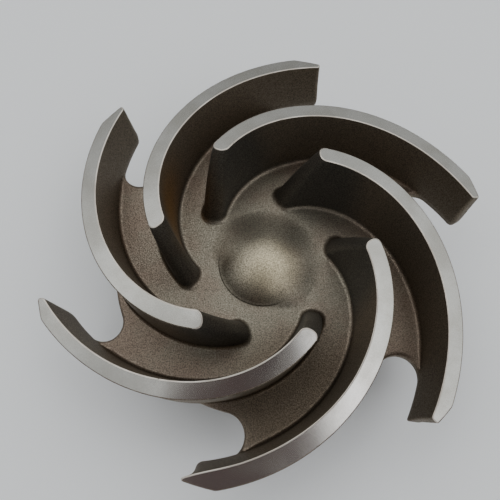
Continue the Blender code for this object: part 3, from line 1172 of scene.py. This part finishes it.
@dataclass(frozen=True)
class Spot:
    """A place of another colour, whole in its core and faded out at its reach: used for a brown
    patch, for painted shade and for a rubbed patch with a painted highlight.
    """

    place: Triple
    core: float
    reach: float
    colour: str

    def mark(self, tree: Tree, place: Socket, colour: Socket) -> Socket:
        """Put the spot on a surface.

        Args:
            tree: The node tree.
            place: The point on the surface.
            colour: The surface's colour.

        Returns:
            The colour with the spot.
        """
        apart = add_node(tree, "VectorMath", place, self.place, operation="DISTANCE")
        share = add_node(tree, "MapRange", apart, self.core, self.reach, 1.0, 0.0, **SMOOTH)
        return add_node(tree, "Mix", share, colour, linear(self.colour), **BLEND)


@dataclass(frozen=True)
class BlastedCasting:
    """Cast stainless steel, blasted and pickled: a dull brown-grey skin with a fine glitter."""

    name: str = "blasted_cast_stainless"
    floor_colour: str = "#7f796c"
    stain_colour: str = "#776a5e"
    wall_colour: str = "#857a6b"
    nose_colour: str = "#68655f"
    end_colour: str = "#6f6557"
    # Painted shade: a dark line along the crease at one side of the dome's foot.
    crease_colour: str = "#2b251e"
    # The real grit is about 0.2 mm and wouldn't show, so it is drawn coarser.
    grain: Pattern = Pattern(0.6 * MM, 2.0, 0.7)
    grain_light: Floats = (0.35, 0.65, 0.60, 1.40)
    grain_roughness: Floats = (0.25, 0.75, 0.54, 0.36)
    wall_roughness: float = 0.15
    wall_fade: Floats = (0.10, 0.80, 1.0, 0.0)
    relief: float = 0.08 * MM
    blotch: Pattern = Pattern(16.0 * MM)
    # How fast the redder stain takes over outwards, for each metre of radius.
    stain_growth: float = 6.0
    stain_fade: Floats = (0.50, 1.05, 0.0, 1.0)
    end_fade: Floats = (78.0 * MM, 97.0 * MM, 0.0, 1.0)
    nose_fade: Floats = (47.0 * MM, 56.0 * MM, 1.0, 0.0)
    brown_wall: Spot = Spot(mm(-43.0, 24.0, 54.0), 0.0, 32.0 * MM, "#8f6c40")
    # Painted shade: the floor of the lower passage is darkened in one place.
    oily_floor: Spot = Spot(mm(12.0, -65.0, 35.5), 16.0 * MM, 46.0 * MM, "#60564a")
    # A lighter rubbed patch on the dome's crown that is also a painted highlight, set where the
    # light catches the crown.
    rubbed_dome: Spot = Spot(mm(3.5, -4.5, 41.0), 1.0 * MM, 20.0 * MM, "#b9ad92")
    crease_radius: float = 21.6 * MM
    crease_width: float = 0.5 * MM
    crease_direction: Triple = (-0.64, -0.77, 0.0)
    crease_fade: Floats = (0.3, 0.75, 0.0, 1.0)

    def material(self) -> Material:
        """Make the finish.

        Returns:
            The material.
        """
        made, tree, shader = new_finish(self.name)
        given = add_node(tree, "TexCoord").node.outputs
        place = given["Object"]
        grain = add_node(tree, "TexNoise", place, *self.grain.inputs)
        flat = add_node(tree, "VectorMath", place, IN_PLAN, operation="MULTIPLY")
        radius = add_node(tree, "VectorMath", flat, operation="LENGTH")
        height = add_node(tree, "SeparateXYZ", given["Normal"]).node.outputs["Z"]
        steep = add_node(tree, "Math", height, operation="ABSOLUTE")
        wall = add_node(tree, "MapRange", steep, *self.wall_fade, **SMOOTH)
        colour = self.skin(tree, place, wall, radius)
        # Rubbed patch and painted highlight on the dome's crown.
        colour = self.rubbed_dome.mark(tree, place, colour)
        # Painted shade along the crease on one side of the dome's foot.
        colour = self.crease(tree, flat, radius, colour)
        light = add_node(tree, "MapRange", grain, *self.grain_light)
        rough = add_node(tree, "MapRange", grain, *self.grain_roughness)
        bump = add_node(tree, "Bump")
        feed(bump.node, {"Distance": self.relief, "Height": grain})
        feed(shader, {
            "Base Color": add_node(tree, "VectorMath", colour, light, operation="SCALE"),
            "Metallic": 1.0,
            "Roughness": add_node(tree, "Math", wall, self.wall_roughness, rough,
                                  operation="MULTIPLY_ADD"),
            "Normal": bump,
        })
        return made

    def skin(self, tree: Tree, place: Socket, wall: Socket, radius: Socket) -> Socket:
        """Colour of the floors, redder outwards and with painted shade on the lower passage, and of
        the walls, darker at the vanes' ends.

        Args:
            tree: The node tree.
            place: The point on the surface.
            wall: How much the surface is a wall.
            radius: Distance from the axis.

        Returns:
            The colour.
        """
        blotch = add_node(tree, "TexNoise", place, *self.blotch.inputs)
        stain = add_node(tree, "Math", radius, self.stain_growth, blotch, operation="MULTIPLY_ADD")
        floor, walls = linear(self.floor_colour), linear(self.wall_colour)
        share = add_node(tree, "MapRange", stain, *self.stain_fade, **SMOOTH)
        floor = add_node(tree, "Mix", share, floor, linear(self.stain_colour), **BLEND)
        for fade, colour in ((self.end_fade, self.end_colour), (self.nose_fade, self.nose_colour)):
            share = add_node(tree, "MapRange", radius, *fade, **SMOOTH)
            walls = add_node(tree, "Mix", share, walls, linear(colour), **BLEND)
        # Painted shade on the floor of the lower passage.
        floor = self.oily_floor.mark(tree, place, floor)
        walls = self.brown_wall.mark(tree, place, walls)
        return add_node(tree, "Mix", wall, floor, walls, **BLEND)

    def crease(self, tree: Tree, flat: Socket, radius: Socket, colour: Socket) -> Socket:
        """Paint shade into the crease on one side of the dome's foot, as a dark line along it.

        Args:
            tree: The node tree.
            flat: The point on the surface, in plan.
            radius: Distance from the axis.
            colour: The colour elsewhere.

        Returns:
            The colour.
        """
        outward = add_node(tree, "VectorMath", flat, operation="NORMALIZE")
        facing = add_node(tree, "VectorMath", outward, self.crease_direction,
                          operation="DOT_PRODUCT")
        along = add_node(tree, "MapRange", facing, *self.crease_fade, **SMOOTH)
        apart = add_node(tree, "Math", radius, self.crease_radius, operation="SUBTRACT")
        apart = add_node(tree, "Math", apart, operation="ABSOLUTE")
        across = add_node(tree, "MapRange", apart, 0.0, self.crease_width, 1.0, 0.0)
        share = add_node(tree, "Math", along, across, operation="MULTIPLY")
        # The dark line of painted shade along the crease.
        return add_node(tree, "Mix", share, colour, linear(self.crease_colour), **BLEND)


class FeedDirection(Enum):
    """Which way the lathe tool travelled, across its grooves."""

    RADIAL = "radial"
    AXIAL = "axial"


@dataclass(frozen=True)
class TurnedSteel:
    """Stainless steel turned on a lathe: satin, with fine grooves round the axis."""

    name: str
    colour: str = "#cbc9c3"
    dull_colour: str = "#b9b6ae"
    roughness: Pair = (0.17, 0.27)
    # Real feed marks are about 0.15 mm apart and wouldn't show, so they are drawn wider.
    feed_marks: Pattern = Pattern(0.45 * MM, 2.0)
    groove: float = 0.0006 * MM
    direction: FeedDirection = FeedDirection.RADIAL
    anisotropy: float = 0.3
    speck: Pattern = Pattern(0.7 * MM, 2.0, 0.7)
    speck_light: Pair = (0.95, 1.05)
    cloud: Pattern = Pattern(14.0 * MM)
    noise_range: Pair = (0.3, 0.7)

    def material(self) -> Material:
        """Make the finish.

        Returns:
            The material.
        """
        made, tree, shader = new_finish(self.name)
        place = add_node(tree, "TexCoord").node.outputs["Object"]
        groove = add_node(tree, "TexNoise", self.travel(tree, place), *self.feed_marks.inputs,
                          noise_dimensions="1D")
        cloud = add_node(tree, "TexNoise", place, *self.cloud.inputs)
        speck = add_node(tree, "TexNoise", place, *self.speck.inputs)
        share = add_node(tree, "MapRange", cloud, *self.noise_range, **SMOOTH)
        colours = linear(self.colour), linear(self.dull_colour)
        colour = add_node(tree, "Mix", share, *colours, **BLEND)
        light = add_node(tree, "MapRange", speck, *self.noise_range, *self.speck_light)
        bump = add_node(tree, "Bump")
        feed(bump.node, {"Distance": self.groove, "Height": groove})
        feed(shader, {
            "Base Color": add_node(tree, "VectorMath", colour, light, operation="SCALE"),
            "Metallic": 1.0,
            "Anisotropic": self.anisotropy,
            "Tangent": add_node(tree, "Tangent", direction_type="RADIAL", axis="Z"),
            "Roughness": add_node(tree, "MapRange", cloud, *self.noise_range, *self.roughness),
            "Normal": bump,
        })
        return made

    def travel(self, tree: Tree, place: Socket) -> Socket:
        """Distance along the tool's travel: out from the axis, or up along it.

        Args:
            tree: The node tree.
            place: The point on the surface.

        Returns:
            The distance.
        """
        if self.direction is FeedDirection.AXIAL:
            return add_node(tree, "SeparateXYZ", place).node.outputs["Z"]
        flat = add_node(tree, "VectorMath", place, IN_PLAN, operation="MULTIPLY")
        return add_node(tree, "VectorMath", flat, operation="LENGTH")


@dataclass(frozen=True)
class Photographer:
    """The camera, as fitted to the photograph."""

    location: Triple = mm(-7.1, -81.6, 295.6)
    right: Triple = (0.99894, -0.04218, -0.01823)
    forward: Triple = (-0.0036, 0.3232, -0.9463)
    lens: float = 39.876
    sensor: float = 36.0
    shift: Pair = (0.0085, -0.0003)

    def build(self) -> None:
        """Place the camera and make it the scene's."""
        data = bpy.data.cameras.new("photograph_camera")
        data.lens, data.sensor_width = self.lens, self.sensor
        data.shift_x, data.shift_y = self.shift
        made = bpy.data.objects.new("photograph_camera", data)
        bpy.context.scene.collection.objects.link(made)
        back = -Vector(self.forward).normalized()
        up = back.cross(Vector(self.right)).normalized()
        turn = Matrix((up.cross(back), up, back)).transposed().to_4x4()
        made.matrix_world = Matrix.Translation(self.location) @ turn
        bpy.context.scene.camera = made


@dataclass(frozen=True)
class SoftLight:
    """A soft round source in the sky, or a dark one, by its direction and size in degrees."""

    azimuth: float
    elevation: float
    core: float
    reach: float
    colour: str
    strength: float

    @property
    def direction(self) -> Triple:
        """Unit vector towards the source."""
        turn, rise = math.radians(self.azimuth), math.radians(self.elevation)
        return math.cos(rise) * math.cos(turn), math.cos(rise) * math.sin(turn), math.sin(rise)

    @property
    def fade(self) -> Pair:
        """Cosines of its reach and its core, between which it fades in."""
        return math.cos(math.radians(self.reach)), math.cos(math.radians(self.core))


@dataclass(frozen=True)
class Studio:
    """A pale table under a sky that brightens upwards, with windows and dark screens."""

    table_colour: str = "#f5f6f7"
    table_size: float = 6.0
    table_roughness: float = 0.45
    sky_colour: str = "#f4f7f8"
    strengths: Pair = (0.30, 2.75)
    low_height: float = 0.2
    rise: float = 1.6
    window: SoftLight = SoftLight(-46.0, 52.0, 7.0, 13.0, "#f6f6fa", 2.5)
    wall: SoftLight = SoftLight(-160.0, 45.0, 5.0, 18.0, "#f4f7f8", 0.66)
    screen: SoftLight = SoftLight(-103.0, 56.0, 19.0, 26.0, "#584a4a", 1.0)
    cover: SoftLight = SoftLight(-70.0, 83.0, 17.0, 23.0, "#1c1818", 1.0)

    def table(self) -> None:
        """The table top, of white laminate, which isn't part of the impeller."""
        bm = bmesh.new()
        bmesh.ops.create_grid(bm, x_segments=1, y_segments=1, size=self.table_size / 2.0)
        mesh = bpy.data.meshes.new("table_top")
        bm.to_mesh(mesh)
        bm.free()
        made = link_object("table_top", mesh)
        finish, _, shader = new_finish("white_laminate")
        feed(shader, {"Base Color": linear(self.table_colour), "Roughness": self.table_roughness})
        mesh.materials.append(finish)

    def sky(self) -> None:
        """Soft light from all sides."""
        world = bpy.data.worlds.new("studio")
        world.use_nodes = True
        bpy.context.scene.world = world
        tree = world.node_tree
        ray = add_node(tree, "TexCoord").node.outputs["Generated"]
        height = add_node(tree, "SeparateXYZ", ray).node.outputs["Z"]
        share = add_node(tree, "MapRange", height, self.low_height, 1.0)
        share = add_node(tree, "Math", share, self.rise, operation="POWER")
        strength = add_node(tree, "MapRange", share, 0.0, 1.0, *self.strengths)
        colour = add_node(tree, "VectorMath", linear(self.sky_colour)[:3], strength,
                          operation="SCALE")
        for light in (self.window, self.wall, self.screen, self.cover):
            facing = add_node(tree, "VectorMath", ray, light.direction, operation="DOT_PRODUCT")
            share = add_node(tree, "MapRange", facing, *light.fade, **SMOOTH)
            glow = [c * light.strength for c in linear(light.colour)]
            colour = add_node(tree, "Mix", share, colour, glow, **BLEND)
        feed(tree.nodes["Background"], {"Color": colour})

    def build(self) -> None:
        """Set up the table and the light."""
        self.table()
        self.sky()


@dataclass
class Impeller:
    """The finished impeller, cast and then machined."""

    sizes: MainSizes = field(default_factory=MainSizes)
    smooth_angle: float = math.radians(32.0)

    def build(self) -> Object:
        """Cast, thin, machine and dress the impeller.

        Returns:
            The impeller as one object.
        """
        vanes = VaneForm(self.sizes, MeanLine(self.sizes))
        hub = HubForm(self.sizes)
        body = CastBody(self.sizes, vanes, ShroudForm(self.sizes, vanes), hub)
        made = link_object("impeller", body.mesh("impeller"))
        log.info("impeller, as cast: %d faces", len(made.data.polygons))
        for finish in self.finishes():
            made.data.materials.append(finish)
        thin = made.modifiers.new("thin", "DECIMATE")
        thin.ratio = min(1.0, body.face_budget / (2.0 * len(made.data.polygons)))
        apply_modifiers(made)
        lathe = Lathe(self.sizes, vanes, hub, ScrewThread())
        lathe.cut(made)
        made.data.shade_smooth()
        made.data.set_sharp_from_angle(angle=self.smooth_angle)
        lathe.break_edges(made)
        log.info("impeller, machined: %d faces", len(made.data.polygons))
        return made

    def finishes(self) -> list[Material]:
        """One material for each surface.

        Returns:
            The materials, in the order of Surface.
        """
        axial = FeedDirection.AXIAL
        edge = {"colour": "#d2cbc1", "dull_colour": "#bab1a6", "roughness": (0.36, 0.5)}
        dressed = {
            Surface.CAST: BlastedCasting(),
            Surface.TURNED_FACE: TurnedSteel("turned_stainless_face"),
            Surface.BROKEN_EDGE: TurnedSteel("filed_stainless_edge", **edge),
            Surface.TURNED_RIM: TurnedSteel("turned_stainless_rim", direction=axial),
            Surface.TURNED_HUB: TurnedSteel("turned_stainless_hub", direction=axial),
        }
        return [dressed[surface].material() for surface in Surface]


def main() -> None:
    """Build the impeller and its studio."""
    logging.basicConfig(level=logging.INFO, format="%(name)s: %(message)s")
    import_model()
    Photographer().build()
    impeller = Impeller().build()
    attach(impeller, "root")
    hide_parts(CASTING_NODE)
    Studio().build()


if __name__ == "__main__":
    main()
